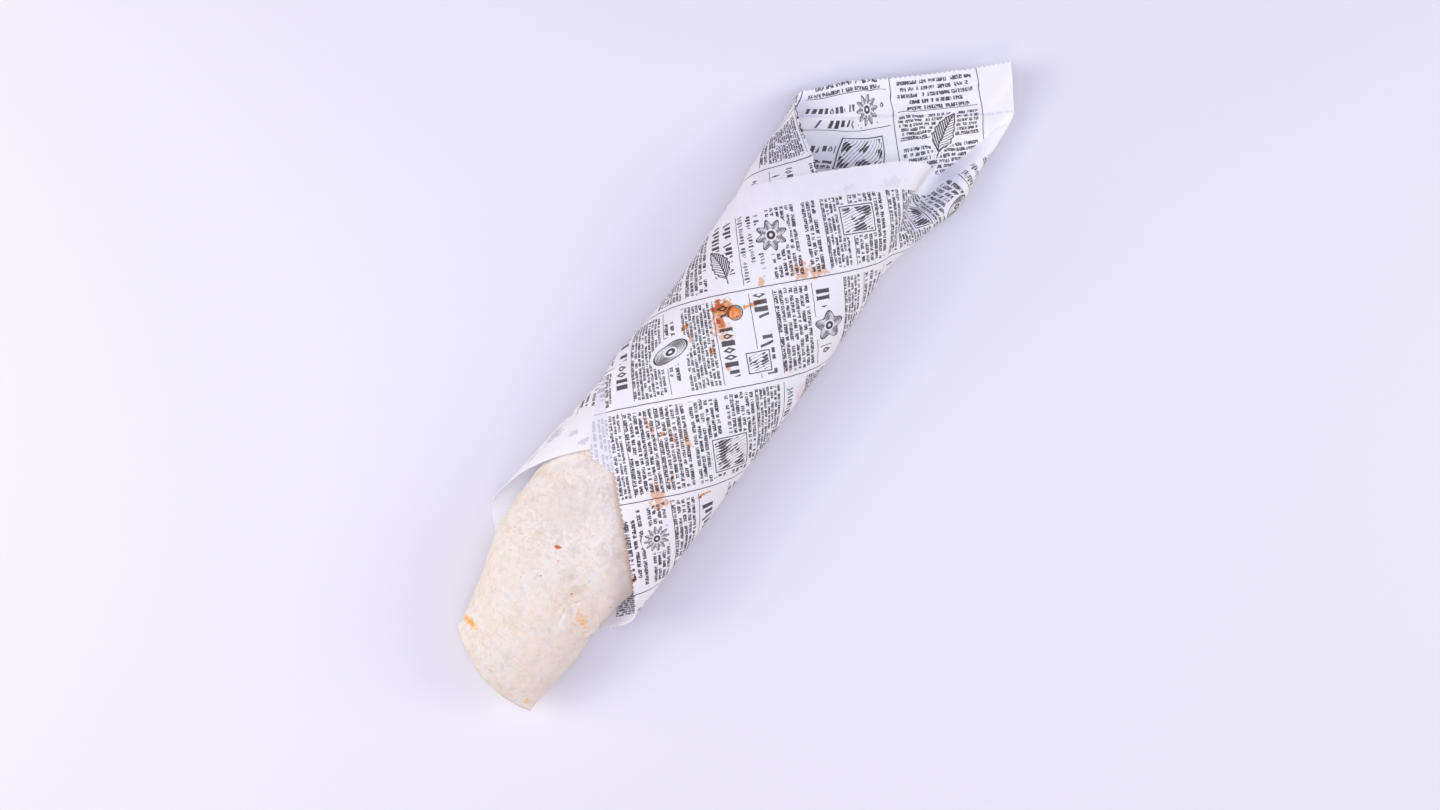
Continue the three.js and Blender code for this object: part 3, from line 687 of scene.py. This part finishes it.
def newsprint_group():
    """Columns of blocks of meaningless bars, lozenges and slants in rows, with thin rules, as on a
    sheet of newsprint. Places are in millimetres from the fold and from the toothed edge. The bare
    numbers in the draws and the noise only keep one block, row or draw apart from another."""
    tree, _, (from_fold, from_cut, first_rule, first_line, last_line, seed), result = new_group(
        "newsprint", (), ("From Fold", "From Cut", "First Rule", "First Line", "Last Line", "Seed"), ("Ink",)
    )

    def chances(x, y, z):
        """Four random amounts for this cell."""
        drawn = node(tree, "TexWhiteNoise", joined(x, y, z), noise_dimensions="3D").outputs
        colours = node(tree, "SeparateColor", drawn["Color"]).outputs
        return [Amount(socket) for socket in (*colours, drawn["Value"])]

    from_rule = from_fold - first_rule
    column = (from_rule / COLUMN_WIDTH).whole()
    seed = (column > LAST_COLUMN - 0.5) * LAST_COLUMN_SEED + seed
    across = from_rule - column * COLUMN_WIDTH
    column_width = (last_line - (from_fold - across)).at_most(COLUMN_WIDTH)
    down = chances(column, seed, 3)[3] * 53 + from_cut

    def block_start(block):
        return (block + chances(column, block, seed + 21)[3] * BLOCK_JITTER) * BLOCK_PITCH

    nearest = (down / BLOCK_PITCH).whole()
    block = nearest - (down < block_start(nearest))
    in_block = down - block_start(block)
    length = block_start(block + 1) - block_start(block)

    block_chances = chances(column, block, seed)
    kind = node(tree, "ValToRGB", block_chances[3])
    stops = kind.color_ramp.elements
    kind.color_ramp.interpolation = "CONSTANT"
    while len(stops) < len(BLOCK_KINDS):
        stops.new(0.5)
    for stop, (chance, pitch, stroke, empty, fill) in zip(stops, BLOCK_KINDS):
        stop.position = chance
        stop.color = (pitch / KIND_PITCH_SCALE, stroke / KIND_STROKE_SCALE, empty, fill)
    parts = (*node(tree, "SeparateColor", kind.outputs["Color"]).outputs, kind.outputs["Alpha"])
    pitch, stroke, empty, fill = (Amount(part) for part in parts)
    pitch = (pitch * KIND_PITCH_SCALE).at_most(length - BLOCK_GAP)
    stroke = stroke * KIND_STROKE_SCALE
    fine = stroke < FINE_STROKE

    # Some blocks of fine rows stand in two narrow columns with a rule between them.
    narrow = (block_chances[0] > TWO_COLUMNS_ABOVE) & fine & (column_width > COLUMN_WIDTH - 1)
    width = column_width * (narrow * -0.5 + 1)
    half_width = width * 0.5
    from_middle = abs(across % width - half_width)
    rows = in_block / pitch
    row = rows.whole()
    whole_rows = ((length - LAST_ROW_GAP) / pitch).whole()
    row_chance = chances(column + (across / width).whole(), row, block)[3]
    height = (rows.fraction() - 0.5) / fill
    level = abs(height)
    reach = (half_width - COLUMN_MARGIN) * (1 - row_chance * empty)
    in_row = (level < 0.5) & (row < whole_rows) & (from_middle < reach)

    # One stroke in each cell of a row: a bar with feet, a lozenge or a slant, and blots on small ones.
    cells = row_chance * 57 + across / stroke
    thick, tall, shape, there = chances(cells.whole(), block * 31 + row, column)
    sideways = cells.fraction() - STROKE_MIDDLE
    from_stem = abs(sideways)
    foot = (level > BAR["foot_level"]) & (from_stem < BAR["foot_half"])
    bar = ((from_stem < thick * BAR["thicker"] + BAR["half"]) | foot) & (shape < SLANT["above"])
    off_lozenge = from_stem * LOZENGE["slope"] + level * 2
    lozenge = (off_lozenge < 1) & (off_lozenge > LOZENGE["hollow"]) & (shape > LOZENGE["above"])
    slant = abs(height * SLANT["slope"] + sideways) < SLANT["half"]
    slant = slant & (shape > SLANT["above"]) & (shape < LOZENGE["above"])
    shapes = (bar | lozenge | slant) & (height > (tall > 0.5) * STROKE_SHORTER - 0.5)
    blots = joined(cells * BLOTS_ALONG, height * BLOTS_UP, row * 3.7)
    blot = (noise_in(blots, 1, 1) > BLOTS_ABOVE) & fine
    sway = noise_in(joined(cells, row * 5.3, block), WORD_SWAY_CELLS, 1)
    words = (sway * WORD_SWAY + cells) / WORD_LENGTH
    word_chance = chances(words.whole(), row, block + 0.5)[0]
    in_word = words.fraction() > word_chance * WORD_GAP_SPREAD + WORD_GAP
    boldness = row_chance * (1 - STROKE_BOLDNESS) + STROKE_BOLDNESS
    strokes = (shapes | blot) & (there > STROKE_THERE) & in_row & in_word & boldness

    to_column_rule = across.at_most(COLUMN_WIDTH - across)
    rule = to_column_rule < RULE_WIDTH / 2
    middle_rule = (half_width - from_middle < SHORT_RULE_WIDTH / 2) & narrow
    block_rule = (in_block < SHORT_RULE_WIDTH) & (to_column_rule > COLUMN_MARGIN)
    block_rule = block_rule & (block_chances[1] > BLOCK_RULE_ABOVE)
    printed = (from_fold > first_line) & (from_fold < last_line)
    feed(tree, result, [(strokes | rule | middle_rule | block_rule) & printed])
    return tree


newsprint = newsprint_group()
ENGRAVED = ("Ink", "Ground")
ROSETTE = {
    "petal_radius": 0.76, "petal_swing": 0.17, "throat": 0.34, "outline": 0.035, "rings": 13,
    "shade": 0.5, "shade_swing": 0.3, "shade_turn": 1.1, "hub_hole": 0.1, "hub": 0.26, "ground": 1.12,
}


def rosette_group():
    """A small engraved rosette: petals round a hub, shaded with fine rings. Like the other
    engravings, it also gives the ground that is kept clear round it."""
    tree, (place, centre), (size, turn, petals, slimness), result = new_group(
        "engraved_rosette", ("Place", "Centre"), ("Radius", "Turn", "Petals", "Slimness"), ENGRAVED
    )
    along, across = from_centre(place, centre, turn)
    along, across = along / size, across / size / slimness
    radius = (along * along + across * across).root()
    angle = across.step("ARCTAN2", along) * petals
    edge = angle.cosine() * ROSETTE["petal_swing"] + ROSETTE["petal_radius"]
    outline = abs(radius - edge) < ROSETTE["outline"]
    shade = (angle + ROSETTE["shade_turn"]).cosine() * ROSETTE["shade_swing"] + ROSETTE["shade"]
    hatch = (radius * ROSETTE["rings"]).fraction() < shade
    hatch = hatch & (radius < edge) & (radius > ROSETTE["throat"])
    hub = (radius < ROSETTE["hub"]) & (radius > ROSETTE["hub_hole"])
    feed(tree, result, [outline | hatch | hub, radius < ROSETTE["ground"]])
    return tree


engraved_rosette = rosette_group()
PANEL = {
    "line": 0.2, "margin": 0.9, "clouds": 4.5, "cloud_edge": (0.42, 0.58), "slope": 0.35,
    "pitch": 1.15, "shade": 0.14, "heavier": 0.72, "ground": 0.7,
}


def panel_group():
    """A small engraved panel: a frame filled with hatching that is heavier in some places."""
    tree, (place, centre), (width, height, seed), result = new_group(
        "engraved_panel", ("Place", "Centre"), ("Width", "Height", "Seed"), ENGRAVED
    )
    across, up = from_centre(place, centre)
    inside = (width * 0.5 - abs(across)).at_most(height * 0.5 - abs(up))
    frame_line = abs(inside - PANEL["line"]) < PANEL["line"]
    heavy = stepped(noise_in(joined(across, up, seed), PANEL["clouds"]), *PANEL["cloud_edge"])
    hatch = ((across * PANEL["slope"] + up) / PANEL["pitch"]).fraction()
    hatch = (hatch < heavy * PANEL["heavier"] + PANEL["shade"]) & (inside > PANEL["margin"])
    feed(tree, result, [frame_line | hatch, inside > -PANEL["ground"]])
    return tree


engraved_panel = panel_group()
LEAF = {
    "bend": 0.8, "lobes": 19, "lobe_depth": 0.07, "taper": -0.3, "outline": 0.24, "midrib": 0.22,
    "midrib_reach": 1.16, "stalk": 0.18, "rib_slope": -1.1, "rib_pitch": 1.25, "shade": 0.34,
    "heavier": 0.3, "ground": 1, "ground_reach": 1.3,
}


def leaf_group():
    """A small engraved leaf: an outline, a midrib that runs on into a stalk, and slanting ribs that
    are heavier on one side."""
    tree, (place, centre), (length, width, turn), result = new_group(
        "engraved_leaf", ("Place", "Centre"), ("Length", "Width", "Turn"), ENGRAVED
    )
    lengthwise, crosswise = from_centre(place, centre, turn)
    along = lengthwise / (length * 0.5)
    bent = along * along * LEAF["bend"] + crosswise
    off_rib = abs(bent)
    lobes = (along * LEAF["lobes"]).cosine() * LEAF["lobe_depth"] + (1 - LEAF["lobe_depth"])
    taper = ((1 - along * along) | 0) * (along * LEAF["taper"] + 1)
    half_width = taper * lobes * (width * 0.5)
    outline = (abs(off_rib - half_width) < LEAF["outline"]) & (abs(along) < 1)
    midrib = (off_rib < LEAF["midrib"]) & (abs(along + LEAF["stalk"]) < LEAF["midrib_reach"])
    ribs = ((off_rib * LEAF["rib_slope"] + lengthwise) / LEAF["rib_pitch"]).fraction()
    ribs = (ribs < (bent > 0) * LEAF["heavier"] + LEAF["shade"]) & (off_rib < half_width)
    ground = (off_rib < half_width + LEAF["ground"]) & (abs(along) < LEAF["ground_reach"])
    feed(tree, result, [outline | midrib | ribs, ground])
    return tree


engraved_leaf = leaf_group()


def fibre_group():
    """The height of the paper's fibres, which are this many metres long."""
    tree, (place,), (length,), result = new_group("paper_fibres", ("Place",), ("Length",), ("Height",))
    feed(tree, result, [noise_in(place, length, 4, 0.6)])
    return tree


paper_fibres = fibre_group()
PAPER_WHITE, PAPER_INK = srgb(250, 250, 255), srgb(46, 40, 50)
PAPER_ROUGHNESS, PAPER_SHOWS_THROUGH, INK_COVER = 0.55, 0.16, 0.95
FIBRE_LENGTH, FIBRE_STRENGTH, FIBRE_HEIGHT = 4, 0.25, 0.6


def greaseproof(name, print_lines, engravings=(), washes=(), cover=INK_COVER, white=PAPER_WHITE, painted_light=0):
    """White greaseproof paper with newsprint on this side. print_lines are the first rule, the
    first and last line and the seed, engravings (group, places: from cut, from fold and the group's
    other values), washes (colour, strength, ragged spots), and cover how well the ink hides it."""
    material, tree, shader = new_material(name, PAPER_ROUGHNESS)
    across, up, _ = split(node(tree, "UVMap", uv_map="UVMap").outputs[0])
    from_cut = across * SHEET_SIDE
    from_fold = up * -SHEET_SIDE + SHEET_SIDE
    on_sheet = joined(from_cut, from_fold, 0)
    printed = node(tree, "Group", from_fold, from_cut, *print_lines, node_tree=newsprint)
    ink = Amount(printed.outputs[0])
    for group, places in engravings:
        for cut, fold, *values in places:
            engraved = node(tree, "Group", on_sheet, (cut, fold, 0), *values, node_tree=group)
            drawn, ground = (Amount(socket) for socket in engraved.outputs)
            ink = ink & (1 - ground) | drawn
    colour = layered(ink, white, PAPER_INK, cover)
    in_metres = altered(on_sheet, "MULTIPLY", (MM, MM, MM))
    for wash, strength, spots in washes:
        colour = layered(spotted(in_metres, spots), colour, wash, strength, "MULTIPLY")
    # Painted light: the sheet gives off a little of its own colour as light, as much as the last argument
    # says.
    tree.links.new(colour, shader["Emission Color"])
    shader["Emission Strength"].default_value = painted_light
    place = node(tree, "TexCoord").outputs["Object"]
    fibres = node(tree, "Group", place, FIBRE_LENGTH * MM, node_tree=paper_fibres).outputs[0]
    give_surface(tree, shader, colour, fibres, FIBRE_STRENGTH, FIBRE_HEIGHT * MM)
    let_through = Amount(node(tree, "NewGeometry").outputs["Backfacing"]) | PAPER_SHOWS_THROUGH
    lit_from_behind = node(tree, "BsdfTranslucent", colour).outputs[0]
    front = tree.nodes["Principled BSDF"].outputs[0]
    both = node(tree, "MixShader", let_through, front, lit_from_behind)
    tree.links.new(both.outputs[0], tree.nodes["Material Output"].inputs["Surface"])
    return material


# Stains, and a thin line of painted shade along the flap's crease, as ragged spots by their places from the
# cut edge and from the fold.
SAUCE_SMEARS = [
    (48.6, 44.2, 8, 6, 0.2, 1.5), (47.4, 49, 2.4, 5.6, 0.2, 1.4), (59.8, 44.9, 5.8, 1.6, 0.15, 1.9),
    (33.9, 48.2, 4.2, 1.4, 0.5, 1.6), (42.4, 59, 2, 2.4, 0, 1.6), (19.6, 86, 1.8, 1.2, 0.3, 1.2),
    (31.2, 111.5, 5, 1, 0.1, 1.6), (0.4, 137.5, 2, 1.1, 0.9, 0.8),
]
THIN_SMEARS = [
    (80.4, 36, 7, 5.5, 0, 3), (85.6, 37.2, 6, 3.6, 0, 2.6), (64.6, 37.2, 2.2, 4, -0.4, 1.6),
    (13.7, 104.2, 1.6, 3, 0, 1.4), (13.9, 108, 4.6, 5.4, 0, 2), (14.4, 111.4, 7, 3, 0, 2.4),
    (35.4, 52.5, 1.2, 6, -0.3, 2.2), (15.2, 83, 1.5, 8, 0.35, 2.6), (22.6, 87.5, 1.3, 7, 0.3, 2.6),
    (19.9, 103, 1.3, 5, -0.3, 2.4), (28, 90, 2.4, 4.6, 0.3, 3), (47.4, 66.1, 2, 2, 0, 1.6),
    (70.6, 71, 1.3, 2.6, 0, 1.2), (46.8, 51.5, 5.5, 8.5, 0.3, 2.6),
]
DARK_SMEARS = [
    (47.2, 43, 5.4, 3.6, 0.3, 2), (46.4, 48.2, 1.4, 4.4, 0.3, 2), (51, 46, 3.4, 4, 0, 1.6),
    (0.2, 137.8, 1.6, 1.1, 0.9, 0.6),
]
GREASE_SPOTS = [
    (97.3, 196.6, 7, 4.4, 0.5, 2.2), (106.4, 199.5, 3.4, 2.4, 0.2, 1.6), (110.6, 203.9, 4.2, 2.2, 0.4, 1.8),
    (89.8, 202.4, 3.6, 2, 0.9, 1.6), (98.7, 189.7, 2.4, 1.8, 0.1, 1.4),
]
LIP_GREASE = [(120.7, 7.6, 7, 3, 0.2, 2.8), (102.7, 7.8, 5, 2.6, 0.3, 2.6)]
BLUSH_SPOT = (77, 84, 6, 9, 0.3, 2.4)
# Painted shade: a thin grey line along the crease across the open flap, on its inner face.
CREASE_SHADE_LINE = (192.9, 44, 92, 1.3, -1.486, 1)
PAPER_OIL, PAPER_SAUCE = srgb(232, 158, 74), srgb(216, 134, 62)
GREASE_AND_SHADE_GREY, BLUSH = srgb(220, 218, 226), srgb(250, 222, 222)
OUTSIDE_STAINS = [
    (PAPER_OIL, 0.95, SAUCE_SMEARS), (PAPER_OIL, 0.66, THIN_SMEARS), (PAPER_SAUCE, 0.85, DARK_SMEARS),
    (GREASE_AND_SHADE_GREY, 0.85, GREASE_SPOTS), (GREASE_AND_SHADE_GREY, 0.4, LIP_GREASE), (BLUSH, 0.8, [BLUSH_SPOT]),
]
# On the inner face: only the painted shade along the flap's crease.
INSIDE_CREASE_SHADE = [(GREASE_AND_SHADE_GREY, 0.6, [CREASE_SHADE_LINE])]

OUTSIDE_LINES, INSIDE_LINES = (4, 10.5, 191, 1), (14.5, 14.3, 172, 9)
OUTSIDE_ENGRAVINGS = [
    (engraved_rosette, [
        (71, 20.5, 6.4, 0.2, 8, 1), (27, 56.5, 7.8, 0.4, 2, 0.62), (88, 58, 6.2, 0.3, 5, 1),
        (11, 124, 5.4, 0.6, 12, 0.9), (154, 27, 6.4, 0.9, 2, 0.7), (53.2, 46.6, 3.05, 0, 0, 1),
    ]),
    (engraved_panel, [
        (104, 20, 13, 11, 3), (44, 98, 14, 13, 8), (59, 66, 9, 8, 5), (138, 24, 9, 12, 2),
    ]),
    (engraved_leaf, [
        (126, 62, 17, 8.5, 0.7), (70, 102, 19, 9, 2.3), (38, 140, 15, 8, 1.3), (50, 27, 13, 7, 2),
    ]),
]
INSIDE_ENGRAVINGS = [
    (engraved_rosette, [(197, 60, 6, 0.3, 10, 0.8)]),
    (engraved_panel, [(180, 62, 15, 14, 6), (194, 94, 9, 12, 4)]),
    (engraved_leaf, [(186, 30, 15, 8, 0.5), (168, 40, 14, 7, 2.4)]),
]
# Painted light: the inner face glows a little, brightening the inside of the mouth.
INSIDE_PAINTED_LIGHT = 0.06


def thicken(sheet, slots_to_back=0):
    """Gives the flat mesh the paper's thickness, and its back the material so many slots on."""
    thickness = sheet.modifiers.new("thickness", "SOLIDIFY")
    thickness.thickness = PAPER_THICKNESS * MM
    thickness.offset = 0
    thickness.material_offset = slots_to_back
    bpy.ops.object.modifier_apply(modifier=thickness.name)
    bpy.ops.object.shade_smooth_by_angle(angle=math.radians(PAPER_SMOOTH_ANGLE))


outside = greaseproof("paper_outside", OUTSIDE_LINES, OUTSIDE_ENGRAVINGS, OUTSIDE_STAINS)
inside = greaseproof("paper_inside", INSIDE_LINES, INSIDE_ENGRAVINGS, INSIDE_CREASE_SHADE, painted_light=INSIDE_PAINTED_LIGHT)
paper.data.materials.append(outside)
paper.data.materials.append(inside)
thicken(paper, slots_to_back=1)
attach(paper, "root")
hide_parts("paper_sheet")

# ---- Inner leaf ------------------------------------------------------------------------------
# The other half of the doubled sheet has slipped a little, and its border shows as a narrow strip
# beside the toothed edge, cut square where the bread comes out.

STRIP = {"width": 11.6, "start": -45, "full": -21, "end": -6, "square_cut": -58, "tucked": 6, "gap": 0.22}
STRIP_CELLS = (60, 24)
STRIP_LINES, STRIP_INK_COVER, STRIP_WHITE = (4, 10.5, 191, 7), 0.342, srgb(240, 240, 250)

bpy.ops.object.select_all(action="DESELECT")
bpy.ops.mesh.primitive_grid_add(x_subdivisions=STRIP_CELLS[0], y_subdivisions=STRIP_CELLS[1], size=1)
leaf = bpy.context.object
leaf.name = "paper_inner_leaf"
along, across, _ = points_of(leaf).T + 0.5
s = STRIP["start"] + along * (STRIP["end"] - STRIP["start"])
cut = SHEET_MIDDLE[1] - HALF_DIAGONAL + np.abs(s - SHEET_MIDDLE[0])
width = STRIP["width"] * np.clip((s - STRIP["start"]) / (STRIP["full"] - STRIP["start"]), 0, 1)
low = np.maximum(cut - width, STRIP["square_cut"])
x = low + across * (cut + STRIP["tucked"] - low)
put_points(leaf, rolled(s, x) - faced(s, x) * STRIP["gap"] + place_of_sheet)
from_cut, from_fold = flat_place(s, x)
for loop in leaf.data.loops:
    i = loop.vertex_index
    leaf.data.uv_layers[0].data[loop.index].uv = (from_cut[i] / SHEET_SIDE, 1 - from_fold[i] / SHEET_SIDE)
thicken(leaf)
leaf.data.materials.append(
    greaseproof("paper_shown_through", STRIP_LINES, cover=STRIP_INK_COVER, white=STRIP_WHITE)
)
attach(leaf, "root")

# ---- Sauce drops -----------------------------------------------------------------------------
# A few wet drops of the orange sauce that have run out over the paper. They cling to it, a little
# lobed, with painted shade darkening them where they are seen edge-on, towards their rims.

# Each drop: its place from the cut edge and from the fold, its radius and its height.
DROPS = [(53.1, 46.8, 2.35, 0.6), (42.4, 60.2, 0.55, 0.22), (29.8, 112.2, 0.6, 0.25), (47.6, 45.4, 0.5, 0.2)]
DROP_SIDES, DROP_RINGS, DROP_WOBBLE, DROP_LOBES, DROP_FOOT = 32, 20, 0.1, 3, -0.1
SAUCE_THIN, SAUCE_THICK, SAUCE_RIM_SHADE = srgb(230, 146, 72), srgb(208, 96, 28), srgb(128, 54, 14)
SAUCE_PATCH, SAUCE_PATCH_EDGE, SAUCE_ROUGHNESS = 2.6, (0.4, 0.6), 0.12
SAUCE_RIM, SAUCE_RIM_STRENGTH = (0.08, 0.4), 0.85

drops = []
for cut, fold, radius, height in DROPS:
    bpy.ops.object.select_all(action="DESELECT")
    bpy.ops.mesh.primitive_uv_sphere_add(segments=DROP_SIDES, ring_count=DROP_RINGS, radius=1)
    drop = bpy.context.object
    ball = points_of(drop)
    s, x = (np.array([value]) for value in rolled_place(cut, fold))
    up = faced(s, x)[0]
    side = np.cross(up, (0, 0, 1))
    side /= np.linalg.norm(side)
    lobes = np.cos(DROP_LOBES * np.arctan2(ball[:, 1], ball[:, 0]) + cut)
    ball[:, :2] *= (radius * (1 + DROP_WOBBLE * lobes))[:, None]
    spread = np.outer(ball[:, 0], side) + np.outer(ball[:, 1], np.cross(up, side))
    raised = np.outer(np.maximum(ball[:, 2], DROP_FOOT) * height, up)
    put_points(drop, rolled(s, x)[0] + place_of_sheet + up * PAPER_THICKNESS / 2 + spread + raised)
    bpy.ops.object.shade_smooth()
    drops.append(drop)
bpy.ops.object.select_all(action="DESELECT")
for drop in drops:
    drop.select_set(True)
bpy.context.view_layer.objects.active = drops[0]
bpy.ops.object.join()
drops = bpy.context.object
drops.name = "sauce_drops"

sauce, tree, shader = new_material("wet_sauce", SAUCE_ROUGHNESS)
place = node(tree, "TexCoord").outputs["Object"]
thick = stepped(noise_in(place, SAUCE_PATCH * MM), *SAUCE_PATCH_EDGE)
colour = layered(thick, SAUCE_THIN, SAUCE_THICK)
# Painted shade: the colour darkens where the drop is seen edge-on.
grazing = stepped(Amount(node(tree, "LayerWeight").outputs["Facing"]), *SAUCE_RIM)
colour = layered(grazing, colour, SAUCE_RIM_SHADE, SAUCE_RIM_STRENGTH)
tree.links.new(colour, shader["Base Color"])
drops.data.materials.append(sauce)
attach(drops, "root")

# ---- Table, light and camera -----------------------------------------------------------------
# A plain pale table top, seen from straight above. Soft boxes light it from the left and the right,
# from in front and from above, with a dim violet studio round it.

TABLE_SIZE, TABLE_ROUGHNESS, TABLE_PALE = 4, 0.8, srgb(227, 227, 235)
STUDIO_COLOUR, STUDIO_STRENGTH = (0.65, 0.48, 1, 1), 0.27
CAMERA_TURN = math.radians(-54.87)
CAMERA_PLACE = (-0.0163, -0.0095, 0.7702)
CAMERA_LENS, CAMERA_SENSOR, CAMERA_CLIP = 50, 36, 0.01

# The soft boxes: how far to the camera's right and up and how high they stand, power and colour.
SOFT_BOX_SIZE = 0.5
SOFT_BOXES = {
    "soft_box_left_low": (-0.8, 0, 0.46, 3.43, (0.97, 0.9, 0.55)),
    "soft_box_left": (-0.6, 0, 0.7, 2.5, (0.82, 0.9, 1)),
    "soft_box_right_low": (0.8, 0, 0.46, 3.7, (0.92, 0.9, 0.5)),
    "soft_box_right": (0.6, 0, 0.7, 1.46, (0.27, 0.4, 1)),
    "soft_box_front": (0, -0.6, 0.7, 1.46, (0.96, 0.9, 0.55)),
    "soft_box_above": (0, 0, 1, 3.07, (0.77, 0.78, 0.97)),
}

bpy.ops.object.select_all(action="DESELECT")
bpy.ops.mesh.primitive_plane_add(size=TABLE_SIZE)
table = bpy.context.object
table.name = "table_top"
pale, _, shader = new_material("pale_table", TABLE_ROUGHNESS)
shader["Base Color"].default_value = TABLE_PALE
table.data.materials.append(pale)

world = bpy.data.worlds.new("studio")
world.use_nodes = True
background = world.node_tree.nodes["Background"]
background.inputs["Color"].default_value = STUDIO_COLOUR
background.inputs["Strength"].default_value = STUDIO_STRENGTH
bpy.context.scene.world = world

for name, (right, up, height, power, colour) in SOFT_BOXES.items():
    x = right * math.cos(CAMERA_TURN) - up * math.sin(CAMERA_TURN)
    y = right * math.sin(CAMERA_TURN) + up * math.cos(CAMERA_TURN)
    bpy.ops.object.light_add(type="AREA", location=(x, y, height))
    light = bpy.context.object
    light.name = name
    light.data.size = SOFT_BOX_SIZE
    light.data.energy = power
    light.data.color = colour
    light.rotation_euler = (-light.location).to_track_quat("-Z", "Y").to_euler()

bpy.ops.object.camera_add(location=CAMERA_PLACE, rotation=(0, 0, CAMERA_TURN))
camera = bpy.context.object
camera.data.lens = CAMERA_LENS
camera.data.sensor_width = CAMERA_SENSOR
camera.data.clip_start = CAMERA_CLIP
bpy.context.scene.camera = camera
bpy.context.scene.view_settings.view_transform = "Standard"
